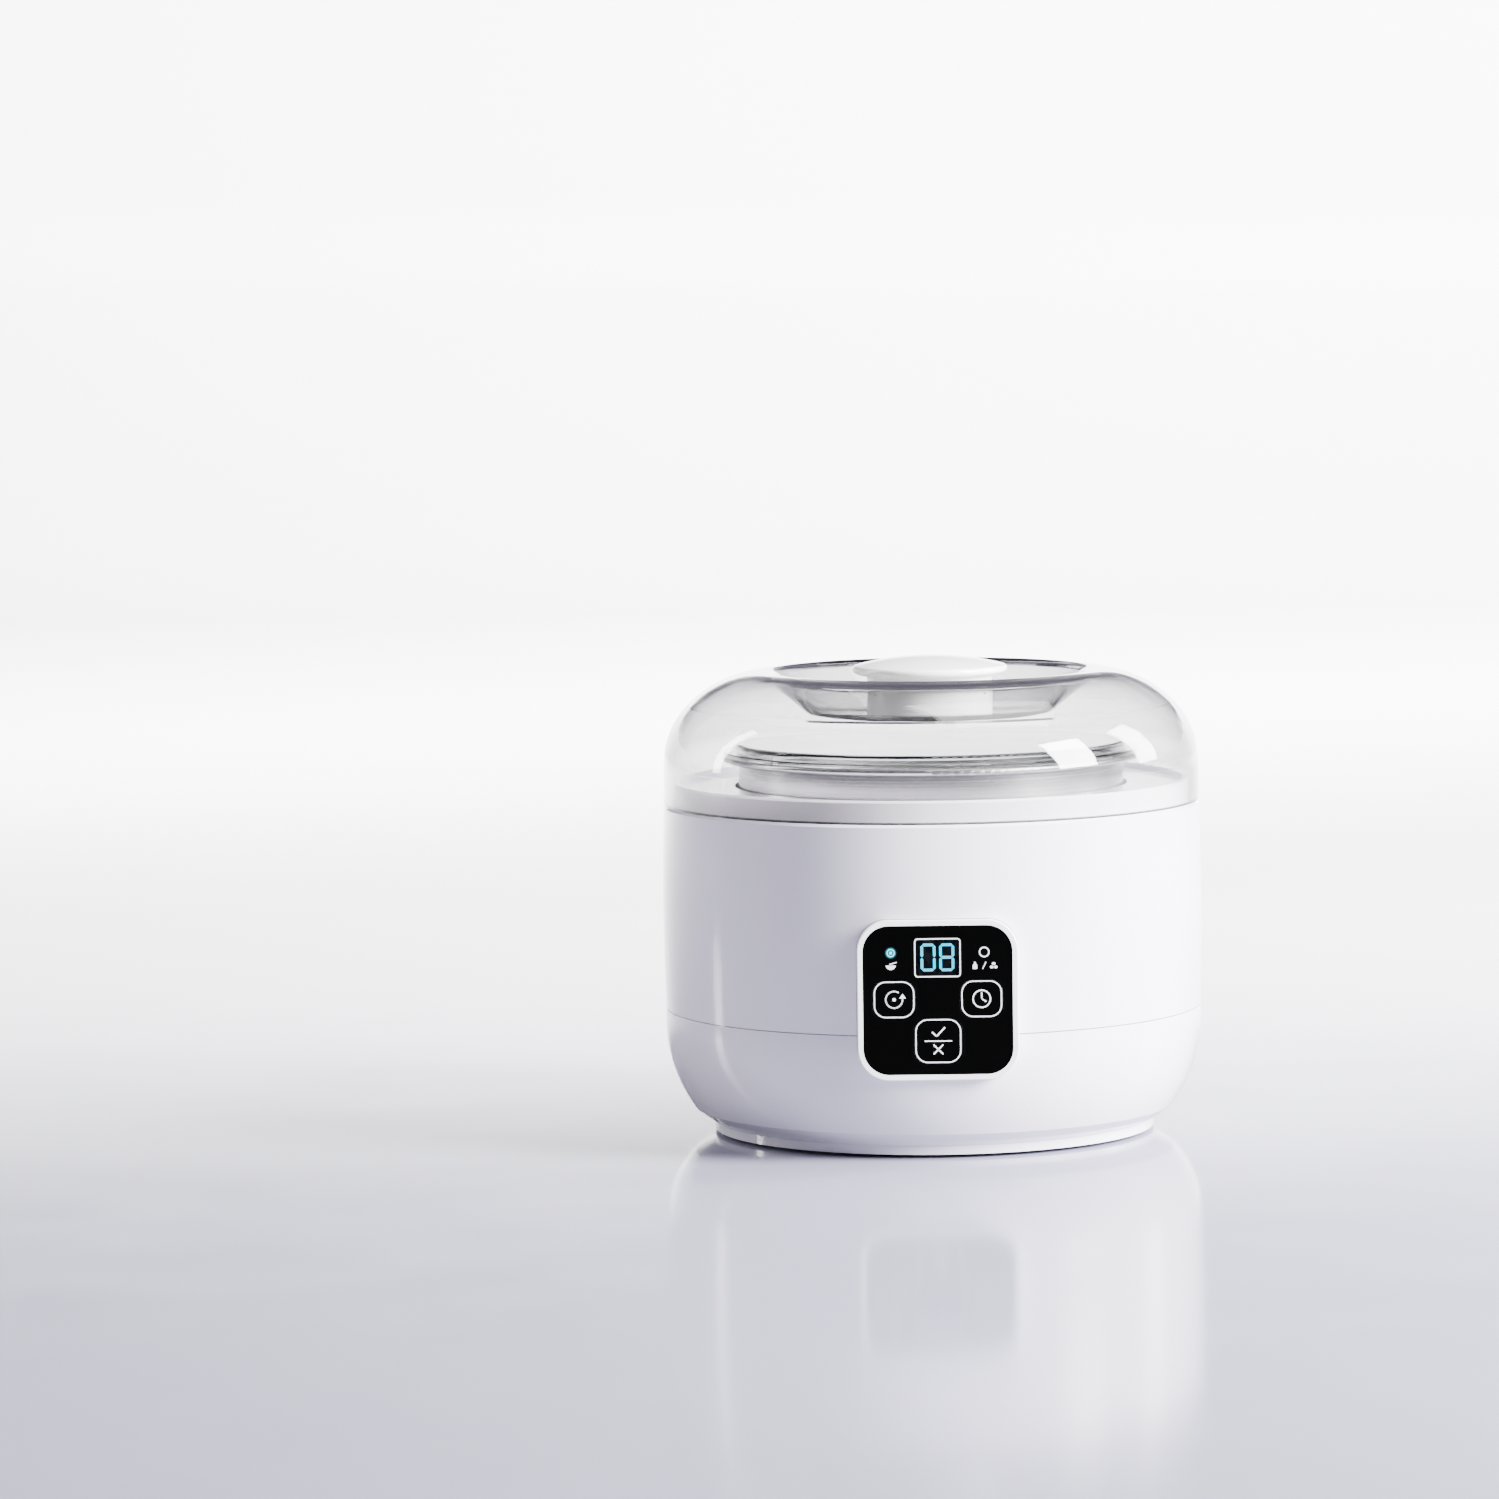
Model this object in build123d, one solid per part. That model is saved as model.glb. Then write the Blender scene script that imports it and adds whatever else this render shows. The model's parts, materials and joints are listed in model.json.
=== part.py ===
from build123d import *
import os
from math import cos, radians, sin

# Round electric yogurt maker. Millimetres, +Z up, control panel facing -Y.
# The origin is on the floor under the centre of the body.

# ---- driving dimensions: body and base ----
SEAM_R = 95.2          # outer radius at the housing seam and at the top ledge
BELLY_R = 95.75        # outer radius half way up the slightly barrelled wall
WALL = 2.5             # plastic wall of both housings
SEAM_Z = 44.5          # seam between lower and upper housing
LEDGE_Z = 117.3        # ledge that carries the clear lid
COLLAR_R = 91.6        # collar inside the lid skirt
COLLAR_WALL = 2.2
COLLAR_TOP = 125.4
COLLAR_BEVEL = 0.8
DECK_Z = 123.5         # upper face of the deck round the well
DECK_R = 69.8          # opening in the deck
BASE_Z = 1.3           # underside of the base, held up by the feet
BOWL_MID_R = 92.6      # point on the bowl half way down
BOWL_MID_Z = 23.7
BOWL_R = 85.3          # where the bowl meets the tapered skirt
BOWL_Z = 9.3
FOOT_R = 78.1          # short upright foot ring
FOOT_Z = 4.3
BASE_R = 76.6          # base plate inside the foot ring
BASE_LEDGE = 3.6       # how far the lower housing reaches over the base plate
LIP_H = 3.0            # locating lip of the lower housing above the seam
LIP_T = 1.2
LIP_ROOT = 4.0         # depth of the lip's root below the seam
SHADOW_GAP = 0.35      # height of the fine groove round the seam
SHADOW_DEPTH = 1.2
LEDGE_BEVEL = 0.9      # bevel on the outer edge of the ledge, a shadow line under the lid
EDGE_BREAK = 0.5       # round on the front edge of the bezel

# ---- clear outer lid ----
LID_R = 95.0
LID_WALL = 2.2
LID_BOTTOM = 117.4
LID_SHOULDER_Z = 131.0
LID_ARC_1 = 30.0       # lower shoulder arc
LID_ARC_2 = 40.0       # upper shoulder arc
LID_ROLL = 6.0         # roll from the crest into the dish
LID_DISH_SLOPE = 42.0  # degrees, wall of the dish
LID_DISH_FILLET = 7.0
LID_FLOOR_Z = 150.3    # upper face of the dish floor
LID_HOLE_R = 3.2       # hole for the knob screw

# ---- knob ----
KNOB_R = 27.5
KNOB_TOP = 168.9
KNOB_EDGE_Z = 164.4
KNOB_UNDER_Z = 162.5
KNOB_NECK_R = 22.2
KNOB_WALL = 2.0
KNOB_EDGE_R = 1.2
KNOB_BEVEL = 0.3
KNOB_CROWN_DROP = 0.8  # fall of the crown half way out
KNOB_BORE_DEPTH = 11.0
KNOB_VENT_Z = 160.0
KNOB_VENT_R = 0.75
KNOB_VENT_ANGLES = [30, 150, 210, 330]
KNOB_BOSS_R = 4.5
WASHER_R = 10.0
WASHER_T = 1.0
KNOB_SCREW_HEAD = (4.0, 2.0)     # radius and height
KNOB_SCREW_LENGTH = 12.0

# ---- pot, inner lid and heating well ----
POT_R = 68.2
POT_WALL = 0.7
POT_FLOOR_Z = 54.0
POT_CORNER = 10.0
POT_RIM_R = 73.6
POT_RIM_Z = 134.5
RIM_BEAD = 1.1
INNER_LID_PLATEAU_R = 68.9
INNER_LID_WALL = 1.8
INNER_LID_TOP = 138.8
INNER_LID_SKIRT_R = 66.4
INNER_LID_SKIRT_Z = 128.0
INNER_LID_FLANGE = 1.5 # thickness of the flange and the skirt
INNER_LID_EDGE_R = 1.0
INNER_LID_BEVEL = 0.4
SEAL_T = 0.8
SEAL_Z = (1.6, 4.4)    # seal above the bottom of the skirt
SEAL_GROOVES = (2.4, 3.4)
SEAL_GROOVE = 0.3
WELL_R = 69.6
WELL_WALL = 1.2
WELL_FLANGE_R = 76.0
HEATER_Z = (68.0, 104.0)         # height range of the film heater
HEATER_T = 0.9
HEATER_GAP = 6.0       # between the ends of the film
THERMAL_FUSE = (1.9, 12.0)       # radius and length
THERMAL_FUSE_Y = 18.0
LEAD_R = 0.5
SENSOR_R = 4.0
SENSOR_FLANGE_R = 6.5
SENSOR_FLANGE_T = 1.2

# ---- inner frame, posts and screws ----
FRAME_R = 90.3
FRAME_Z = 45.0
FRAME_T = 2.5
POST_RING = 83.0       # radius of the circle of housing posts
POST_R = 4.0
BOSS_RING = 62.0       # radius of the circle of base bosses
BOSS_SPLIT_Z = 37.0    # where a screw tunnel meets its spacer
BASE_SCREW_SEAT = 28.0 # seat of a base screw's head, deep in its tunnel
PILOT_R = 1.5
PILOT_DEPTH = 14.0
SCREW_R = 1.45
SCREW_HEAD = (3.0, 2.0)          # radius and height
FRAME_SCREW_LENGTH = 12.0
BASE_SCREW_LENGTH = 19.0
CLEARANCE_R = 1.8      # hole a screw shaft passes freely
TUNNEL_R = 5.2         # outside of a base screw's tunnel
TUNNEL_BORE_R = 3.6
SPACER_R = 4.5
STANDOFF_R = 3.0       # standoffs under the power board
STANDOFF_BORE_R = 1.25
STANDOFF_BORE_Z = 7.0
WELL_RING_R = 59.0     # ring on the frame that carries the well
PANEL_RELIEF = 34.0    # half width of the frame's relief behind the panel
FRAME_RELIEF_BACK = 4.0
SENSOR_LEAD_Y = -30.0  # hole in the frame for the sensor's leads
SENSOR_LEAD_R = 8.0
CORNER_ANGLES = [45, 135, 225, 315]
FOOT_RING = 66.0
FOOT_PAD_R = 6.0
FOOT_PAD_BEVEL = 0.6
FOOT_PAD_TOP = BASE_Z + 1.0      # roof of the recess a foot sits in
FOOT_ANGLES = [0, 90, 180, 270]

# ---- control panel: x is measured from its centre, z from PANEL_Z ----
PANEL_Z = 57.4
PANEL_FRONT = -97.2    # front edge of the bezel
BEZEL = 55.4
BEZEL_CORNER = 11.0
BEZEL_WALL = 2.0
BEZEL_BACK = -84.0
CUTOUT_BACK = -70.0    # the opening for the bezel is cut this far in
OVERLAY_FRONT = -96.9
OVERLAY_T = 1.0
CARRIER_T = 2.0
FIT_GAP = 0.15
WINDOW = (16.5, 14.0, 1.3)      # width, height, corner radius
WINDOW_DZ = 14.6
LIGHT_X = 16.0
LIGHT_DZ = 16.4
LIGHT_R = 1.9
KEYS = {                        # name: x, dz, width, height, corner radius
    "function_key": (-15.0, 0.3, 14.5, 13.2, 4.3),
    "time_key": (15.0, 0.3, 14.5, 13.2, 4.3),
    "confirm_key": (0.0, -14.1, 16.3, 15.7, 4.5),
}
KEY_POCKET = 0.8                # room behind a key for its travel
STEM_R = 1.7
DIGIT = (5.2, 9.6, 0.95)        # width, height, stroke
DIGIT_X = 3.2
SEGMENT_GAP = 0.25
DISPLAY_SET_BACK = 0.4          # display module behind the lens
LENS_GAP = 0.05                 # between the lens and the lit segments
BOARD_FRONT = -88.0             # component side of the control board
BOARD_T = 1.6
BOARD_SIZE = 49.0
BOARD_CORNER = 6.0
BOARD_REAR = BOARD_FRONT + BOARD_T
BOARD_SCREW = 20.5              # screw places from the panel centre
BOARD_BOSS_R = 2.4
BOARD_PILOT_R = 1.05
BOARD_HOLE_R = 1.25
BOARD_SCREW_SIZE = (2.2, 1.4, 1.0, 6.0)     # head radius, head height, shaft radius, length
BEZEL_CLIP_Y = (-87.6, -85.6)   # clips behind the wall of the housing
BEZEL_CLIP_DZ = (2.0, 20.0)
CLIP_ROOT = 1.0
CLIP_REACH = 2.5
SWITCH = (6.0, 3.5, 0.6)        # width, depth, corner radius of a key switch
SWITCH_BORE = 2.0               # depth of the stem's guide in a switch
STEM_END = 2.6                  # clearance of a stem above the board
LED_R = 1.5
CHIP = (12.0, 9.0, 1.8)         # width, height, thickness
CHIP_DZ = 6.0
HEADER = (12.0, 6.0, 6.0, 1.0)  # width, height, depth, wall
HEADER_DEPTH = 4.0
HEADER_X = 12.0
HEADER_DZ = -19.0

# ---- power electronics on the base ----
POWER_BOARD = (76.0, 56.0)
POWER_BOARD_Y = 5.0
POWER_BOARD_Z = 14.0
POWER_SCREW = (33.0, 23.0)
FLOOR_Z = BASE_Z + WALL
POWER_TOP = POWER_BOARD_Z + BOARD_T
POWER_HOLE_R = 1.5
POWER_SCREW_SIZE = (2.6, 1.6, 1.2, 8.0)     # head radius, head height, shaft radius, length
CORE = (28.0, 10.0, 20.0)       # transformer: width, depth, height
CORE_LEG = 4.0                  # thickness of the outer legs and yokes
CORE_MIDDLE = 8.0               # width of the centre leg
CORE_PLACE = (-16.0, 12.0)
COIL = (19.6, 20.0)             # width and depth of the winding
RELAY = (19.0, 15.0, 15.0)
RELAY_PLACE = (20.0, 16.0)
CAN = (5.0, 14.0)               # capacitor: radius and height
CAN_GROOVE = 0.4
CAN_PLACE = (22.0, -8.0)
FUSE = (2.4, 20.0)              # glass: radius and length
FUSE_CAP = (2.8, 5.0)
FUSE_PLACE = (-18.0, -12.0)
TERMINAL = (15.0, 8.0, 10.0)
TERMINAL_PITCH = 7.5
TERMINAL_MOUTH = 5.0            # height of the wire mouths above the board
TERMINAL_BORE = (1.3, 4.5)      # radius and depth of a wire mouth
SOCKET_X = (-2.0, 9.5)          # header for the control leads
SOCKET_Y = (-20.8, -15.0)
SOCKET_H = 6.0
MAINS_TERMINAL = (0.0, 27.5)
HEATER_TERMINAL = (31.5, -5.0)
HEATER_LEAD_X = 76.0            # where the heater leads pass the inner frame

# ---- mains inlet at the back ----
INLET_Z = 29.0
INLET_FACE = 97.2
INLET = (26.0, 15.0, 5.0)       # width, height, corner radius
INLET_BACK = 79.0
INLET_CAVITY = (16.4, 8.8)
INLET_FLOOR = 85.4
INLET_EDGE_R = 0.8
PIN_R = 1.2
PIN_X = 4.3
PIN_REAR = INLET_BACK - 5.0     # solder ends of the pins
PIN_TIP = INLET_FACE - 2.8
INLET_CLIP_Y = (84.5, 87.5)     # snap tabs behind the housing wall
INLET_CLIP_H = 6.0
LEAD_GAP = 0.2                  # between a lead and the face it meets
MAINS_LEAD_R = 1.0
HEATER_LEAD_R = 0.9
HEATER_LEAD_Y = 1.6             # half the distance between the heater leads
CONTROL_LEAD_R = 0.7
CONTROL_LEADS = [0.0, 2.5, 5.0, 7.5]
CONTROL_LEAD_Z = POWER_TOP + 3

EASY_FIT = 0.1          # play between pieces that slip together
MERGE = 0.5             # overlap that joins a boss to its plate
CARRIER_FRONT = OVERLAY_FRONT + OVERLAY_T
CARRIER_BACK = CARRIER_FRONT + CARRIER_T
PIPE_BACK = CARRIER_BACK + 1.5
FRAME_TOP = FRAME_Z + FRAME_T
DECK_UNDER = DECK_Z - WALL


# ---- helpers ----

def polar(radius, angle):
    """Plan position at a radius and an angle in degrees from +X."""
    return radius * cos(radians(angle)), radius * sin(radians(angle))


def revolved(*curves):
    """Solid of revolution about Z; the closed section is drawn as (radius, height)."""
    edges = [edge for curve in curves for edge in curve.edges()]
    return revolve(Plane.XZ * make_face(edges), Axis.Z)


def tube(outer, inner, z_low, z_high):
    """Upright round tube, or a disc where inner is 0."""
    body = Pos(0, 0, z_low) * cylinder(outer, z_high - z_low)
    return body - Pos(0, 0, z_low) * cylinder(inner, z_high - z_low) if inner else body


def cylinder(radius, height):
    """Cylinder standing on the XY plane."""
    return Cylinder(radius, height, align=(Align.CENTER, Align.CENTER, Align.MIN))


def block(x_low, x_high, y_low, y_high, z_low, z_high):
    """Box between two corners."""
    centre = Pos((x_low + x_high) / 2, (y_low + y_high) / 2, (z_low + z_high) / 2)
    return centre * Box(x_high - x_low, y_high - y_low, z_high - z_low)


def along_y(x, y, z):
    """Plane at a point whose normal is +Y, for everything on the panel and the inlet."""
    return Plane(origin=(x, y, z), x_dir=(1, 0, 0), z_dir=(0, 1, 0))


def plate(width, height, corner, y_low, y_high, x=0.0, z=PANEL_Z):
    """Rounded rectangular plate facing -Y."""
    face = along_y(x, y_low, z) * RectangleRounded(width, height, corner)
    return extrude(face, amount=y_high - y_low)


def rod_y(radius, y_low, y_high, x, z):
    """Round rod along Y."""
    return along_y(x, y_low, z) * cylinder(radius, y_high - y_low)


def screw(head_r, head_h, shaft_r, length):
    """Cross-head screw pointing along +Z; the underside of its head is at z 0."""
    head = Pos(0, 0, -head_h) * cylinder(head_r, head_h)
    slot = Box(head_r * 1.3, head_r * 0.3, head_h, align=(Align.CENTER, Align.CENTER, Align.CENTER))
    cross = Pos(0, 0, -head_h) * (slot + Rot(0, 0, 90) * slot)
    shaft = cylinder(shaft_r, length - shaft_r) + Pos(0, 0, length - shaft_r) * Cone(
        shaft_r, shaft_r * 0.3, shaft_r, align=(Align.CENTER, Align.CENTER, Align.MIN))
    return head + shaft - cross


def wire(points, radius, bend=3.0):
    """Round insulated lead through hand-placed points."""
    path = FilletPolyline(*points, radius=bend)
    start = Plane(origin=path @ 0, z_dir=path % 0)
    return sweep(start * Circle(radius), path=path)


# ---- housings and base ----

def wall_arc(inset, z_low, z_high):
    """Barrelled outer wall between two heights, moved inwards by inset."""
    middle = (BELLY_R - inset, (SEAM_Z + LEDGE_Z) / 2)
    return ThreePointArc((SEAM_R - inset, z_low), middle, (SEAM_R - inset, z_high))


def upper_housing():
    """Outer wall with the ledge for the clear lid and a fine groove at the seam."""
    wall_r = SEAM_R - WALL
    ledge_in = COLLAR_R + FIT_GAP
    under_ledge = LEDGE_Z - WALL
    gap_z = SEAM_Z + SHADOW_GAP
    gap_r = SEAM_R - SHADOW_DEPTH
    ledge = Polyline(
        (SEAM_R, LEDGE_Z - LEDGE_BEVEL), (SEAM_R - LEDGE_BEVEL, LEDGE_Z), (ledge_in, LEDGE_Z),
        (ledge_in, under_ledge), (wall_r, under_ledge))
    rebate = Polyline((wall_r, SEAM_Z), (gap_r, SEAM_Z), (gap_r, gap_z), (SEAM_R, gap_z))
    wall = revolved(
        wall_arc(0, gap_z, LEDGE_Z - LEDGE_BEVEL), ledge,
        wall_arc(WALL, SEAM_Z, under_ledge), rebate)
    return wall - panel_cutout()


def top_deck():
    """Collar and deck round the well, hooked under the ledge, with four posts for the frame screws."""
    collar_in = COLLAR_R - COLLAR_WALL
    under_ledge = LEDGE_Z - WALL
    hook_r = SEAM_R - WALL - 2 * FIT_GAP
    deck = revolved(Polyline(
        (COLLAR_R, under_ledge), (COLLAR_R, COLLAR_TOP - COLLAR_BEVEL), (COLLAR_R - COLLAR_BEVEL, COLLAR_TOP),
        (collar_in, COLLAR_TOP), (collar_in, DECK_Z), (DECK_R, DECK_Z), (DECK_R, DECK_UNDER),
        (collar_in, DECK_UNDER), (collar_in, under_ledge - WALL), (hook_r, under_ledge - WALL),
        (hook_r, under_ledge), (COLLAR_R, under_ledge)))
    for angle in CORNER_ANGLES:
        x, y = polar(POST_RING, angle)
        deck += Pos(x, y, 0) * tube(POST_R, 0, FRAME_TOP, DECK_UNDER + MERGE)
        deck -= Pos(x, y, 0) * tube(PILOT_R, 0, FRAME_TOP, FRAME_TOP + PILOT_DEPTH)
    return deck


def bowl_curves(inset):
    """Outside of the base from the seam down to the foot ring, moved inwards by inset."""
    top = (SEAM_R - inset, SEAM_Z)
    middle = (BOWL_MID_R - inset, BOWL_MID_Z + inset * 0.2)
    crease = (BOWL_R - inset * 0.9, BOWL_Z + inset * 0.5)
    foot_top = (FOOT_R - inset * 0.5, FOOT_Z + inset * 0.8)
    return ThreePointArc(top, middle, crease), Line(crease, foot_top), foot_top


def lower_housing():
    """Bowl-shaped wall with a locating lip at the seam and a ledge over the base plate."""
    bowl, taper, foot_top = bowl_curves(0)
    inner_bowl, inner_taper, floor_edge = bowl_curves(WALL)
    wall_r = SEAM_R - WALL
    plate_r = BASE_R + FIT_GAP
    ledge_in = BASE_R - BASE_LEDGE
    ledge_z = FLOOR_Z + EASY_FIT
    foot = Polyline(foot_top, (FOOT_R, BASE_Z), (plate_r, BASE_Z), (plate_r, ledge_z),
                    (ledge_in, ledge_z), (ledge_in, floor_edge[1]), floor_edge)
    rim = Line((wall_r, SEAM_Z), (SEAM_R, SEAM_Z))
    shell = revolved(bowl, taper, foot, inner_taper, inner_bowl, rim)
    lip_r = wall_r - EASY_FIT
    lip_in = lip_r - LIP_T
    root_r = lip_r + MERGE
    root_z = SEAM_Z - LIP_ROOT
    shell += revolved(Polyline(
        (lip_r, SEAM_Z + LIP_H), (lip_in, SEAM_Z + LIP_H), (lip_in, root_z),
        (root_r, root_z), (root_r, SEAM_Z), (lip_r, SEAM_Z), (lip_r, SEAM_Z + LIP_H)))
    width, height, corner = INLET
    play = 2 * FIT_GAP
    inlet_hole = plate(width + play, height + play, corner, INLET_BACK, INLET_FACE, z=INLET_Z)
    return shell - panel_cutout() - inlet_hole


def base_plate():
    """Floor of the base, with screw tunnels up to the inner frame and standoffs for the power board."""
    floor = tube(BASE_R, 0, BASE_Z, FLOOR_Z)
    for angle in CORNER_ANGLES:
        x, y = polar(BOSS_RING, angle)
        floor += Pos(x, y, 0) * tube(TUNNEL_R, 0, FLOOR_Z - MERGE, BOSS_SPLIT_Z)
        floor -= Pos(x, y, 0) * tube(TUNNEL_BORE_R, 0, 0, BASE_SCREW_SEAT)
        floor -= Pos(x, y, 0) * tube(CLEARANCE_R, 0, BASE_SCREW_SEAT, BOSS_SPLIT_Z)
    for x in (-POWER_SCREW[0], POWER_SCREW[0]):
        for y in (POWER_BOARD_Y - POWER_SCREW[1], POWER_BOARD_Y + POWER_SCREW[1]):
            floor += Pos(x, y, 0) * tube(STANDOFF_R, 0, FLOOR_Z - MERGE, POWER_BOARD_Z)
            floor -= Pos(x, y, 0) * tube(STANDOFF_BORE_R, 0, STANDOFF_BORE_Z, POWER_BOARD_Z)
    for angle in FOOT_ANGLES:
        x, y = polar(FOOT_RING, angle)
        floor -= Pos(x, y, 0) * tube(FOOT_PAD_R + FIT_GAP, 0, BASE_Z, FOOT_PAD_TOP)
    return floor


def panel_cutout():
    """Opening through both housings for the bezel, with clearance."""
    size = BEZEL + 2 * FIT_GAP
    return plate(size, size, BEZEL_CORNER + FIT_GAP, PANEL_FRONT, CUTOUT_BACK)


def inner_frame():
    """Plate that closes the upper housing, holds the well up and takes the base screws."""
    disc = tube(FRAME_R, 0, FRAME_Z, FRAME_TOP)
    disc += tube(WELL_RING_R, WELL_RING_R - FRAME_T, FRAME_TOP, POT_FLOOR_Z - WELL_WALL)
    disc -= block(-PANEL_RELIEF, PANEL_RELIEF, -FRAME_R, BEZEL_BACK + FRAME_RELIEF_BACK, FRAME_Z, FRAME_TOP)
    for angle in CORNER_ANGLES:
        x, y = polar(POST_RING, angle)
        disc -= Pos(x, y, 0) * tube(CLEARANCE_R, 0, FRAME_Z, FRAME_TOP)
        x, y = polar(BOSS_RING, angle)
        disc -= Pos(x, y, 0) * tube(PILOT_R, 0, FRAME_Z, FRAME_TOP)
    disc -= Pos(0, SENSOR_LEAD_Y, 0) * tube(SENSOR_LEAD_R, 0, FRAME_Z, FRAME_TOP)
    disc -= Pos(HEATER_LEAD_X, 0, 0) * tube(POST_R, 0, FRAME_Z, FRAME_TOP)
    return disc


def frame_spacers():
    """Round spacers between the screw tunnels of the base and the inner frame."""
    body = tube(SPACER_R, PILOT_R, BOSS_SPLIT_Z, FRAME_Z)
    return [Pos(*polar(BOSS_RING, angle), 0) * body for angle in CORNER_ANGLES]


def rubber_feet():
    bevel = FOOT_PAD_BEVEL
    pad = tube(FOOT_PAD_R, 0, bevel, FOOT_PAD_TOP) + Cone(
        FOOT_PAD_R - bevel, FOOT_PAD_R, bevel, align=(Align.CENTER, Align.CENTER, Align.MIN))
    return [Pos(*polar(FOOT_RING, angle), 0) * pad for angle in FOOT_ANGLES]


def frame_screws():
    body = screw(*SCREW_HEAD, SCREW_R, FRAME_SCREW_LENGTH)
    return [Pos(*polar(POST_RING, angle), FRAME_Z) * body for angle in CORNER_ANGLES]


def base_screws():
    body = screw(*SCREW_HEAD, SCREW_R, BASE_SCREW_LENGTH)
    return [Pos(*polar(BOSS_RING, angle), BASE_SCREW_SEAT) * body for angle in CORNER_ANGLES]


# ---- heating well ----

def well_section(outer_r, floor_z, corner, top_z):
    """Section from the axis along a floor, round its corner and up a wall."""
    bend = (outer_r - corner, floor_z + corner)
    middle = (bend[0] + corner * cos(radians(45)), bend[1] - corner * sin(radians(45)))
    return (Line((0, floor_z), (bend[0], floor_z)),
            ThreePointArc((bend[0], floor_z), middle, (outer_r, bend[1])),
            Line((outer_r, bend[1]), (outer_r, top_z)))


def heating_well():
    outer_r = WELL_R + WELL_WALL
    floor_low = POT_FLOOR_Z - WELL_WALL
    flange_low = DECK_UNDER - WELL_WALL
    outside = well_section(outer_r, floor_low, POT_CORNER + WELL_WALL, flange_low)
    inside = well_section(WELL_R, POT_FLOOR_Z, POT_CORNER, DECK_UNDER)
    flange = Polyline((outer_r, flange_low), (WELL_FLANGE_R, flange_low),
                      (WELL_FLANGE_R, DECK_UNDER), (WELL_R, DECK_UNDER))
    axis = Line((0, floor_low), (0, POT_FLOOR_Z))
    return revolved(*outside, flange, *inside, axis)


def heater_band():
    """Film heater wrapped round the well, with a gap between its ends."""
    inner = WELL_R + WELL_WALL
    low, high = HEATER_Z
    band = tube(inner + HEATER_T, inner, low, high)
    return band - block(0, WELL_FLANGE_R, -HEATER_GAP / 2, HEATER_GAP / 2, low, high)


def thermal_fuse():
    """Fuse barrel with its two leads, clipped under the floor of the well."""
    radius, length = THERMAL_FUSE
    spot = Pos(0, THERMAL_FUSE_Y, POT_FLOOR_Z - WELL_WALL - radius) * Rot(0, 90, 0)
    return spot * (Cylinder(radius, length) + Cylinder(LEAD_R, 2 * length))


def temperature_sensor():
    """Sensor cup pressed against the floor of the well from the inner frame."""
    flange_top = FRAME_TOP + SENSOR_FLANGE_T
    cup = tube(SENSOR_R, 0, flange_top, POT_FLOOR_Z - WELL_WALL)
    return cup + tube(SENSOR_FLANGE_R, 0, FRAME_TOP, flange_top)


# ---- pot and inner lid ----

def inner_pot():
    bead_r = POT_RIM_R - RIM_BEAD
    plate_low = POT_RIM_Z - POT_WALL
    outside = well_section(POT_R, POT_FLOOR_Z, POT_CORNER, plate_low)
    inside = well_section(POT_R - POT_WALL, POT_FLOOR_Z + POT_WALL, POT_CORNER - POT_WALL, POT_RIM_Z)
    rim_low = POT_RIM_Z - 2 * RIM_BEAD
    curl_r = bead_r - 0.9
    curl_end = (bead_r + 0.8, rim_low + 0.35)
    bead = (Line((POT_R, plate_low), (curl_r, plate_low)),
            Line((curl_r, plate_low), (curl_r, rim_low + 0.5)),
            ThreePointArc((curl_r, rim_low + 0.5), (bead_r - 0.2, rim_low), curl_end),
            ThreePointArc(curl_end, (POT_RIM_R, rim_low + RIM_BEAD), (bead_r, POT_RIM_Z)),
            Line((bead_r, POT_RIM_Z), (POT_R - POT_WALL, POT_RIM_Z)))
    axis = Line((0, POT_FLOOR_Z), (0, POT_FLOOR_Z + POT_WALL))
    return revolved(*outside, *bead, *inside, axis)


def inner_lid():
    """Clear lid: raised plate, flange on the pot rim and a skirt that carries the seal."""
    flange_low = POT_RIM_Z + EASY_FIT
    flange_high = flange_low + INNER_LID_FLANGE
    skirt_in = INNER_LID_SKIRT_R - INNER_LID_FLANGE
    plate_low = INNER_LID_TOP - INNER_LID_WALL
    edge_r = INNER_LID_EDGE_R
    bevel = INNER_LID_BEVEL
    top = INNER_LID_TOP
    plateau = INNER_LID_PLATEAU_R
    return revolved(
        Polyline((0, plate_low), (skirt_in, plate_low), (skirt_in, INNER_LID_SKIRT_Z),
                 (INNER_LID_SKIRT_R, INNER_LID_SKIRT_Z), (INNER_LID_SKIRT_R, flange_low),
                 (POT_RIM_R, flange_low), (POT_RIM_R, flange_high - bevel),
                 (POT_RIM_R - bevel, flange_high), (plateau, flange_high),
                 (plateau, top - edge_r)),
        ThreePointArc((plateau, top - edge_r), (plateau - edge_r * 0.3, top - edge_r * 0.3),
                      (plateau - edge_r, top)),
        Polyline((plateau - edge_r, top), (0, top), (0, plate_low)))


def inner_lid_seal():
    """Silicone ring round the skirt of the inner lid."""
    skirt_r = INNER_LID_SKIRT_R
    low, high = SEAL_Z
    seal_r = skirt_r + SEAL_T
    ring = tube(seal_r, skirt_r, INNER_LID_SKIRT_Z + low, INNER_LID_SKIRT_Z + high)
    for groove in SEAL_GROOVES:
        groove_z = INNER_LID_SKIRT_Z + groove
        ring -= tube(seal_r, seal_r - SEAL_GROOVE, groove_z, groove_z + SEAL_GROOVE)
    return ring


# ---- outer lid and knob ----

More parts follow.
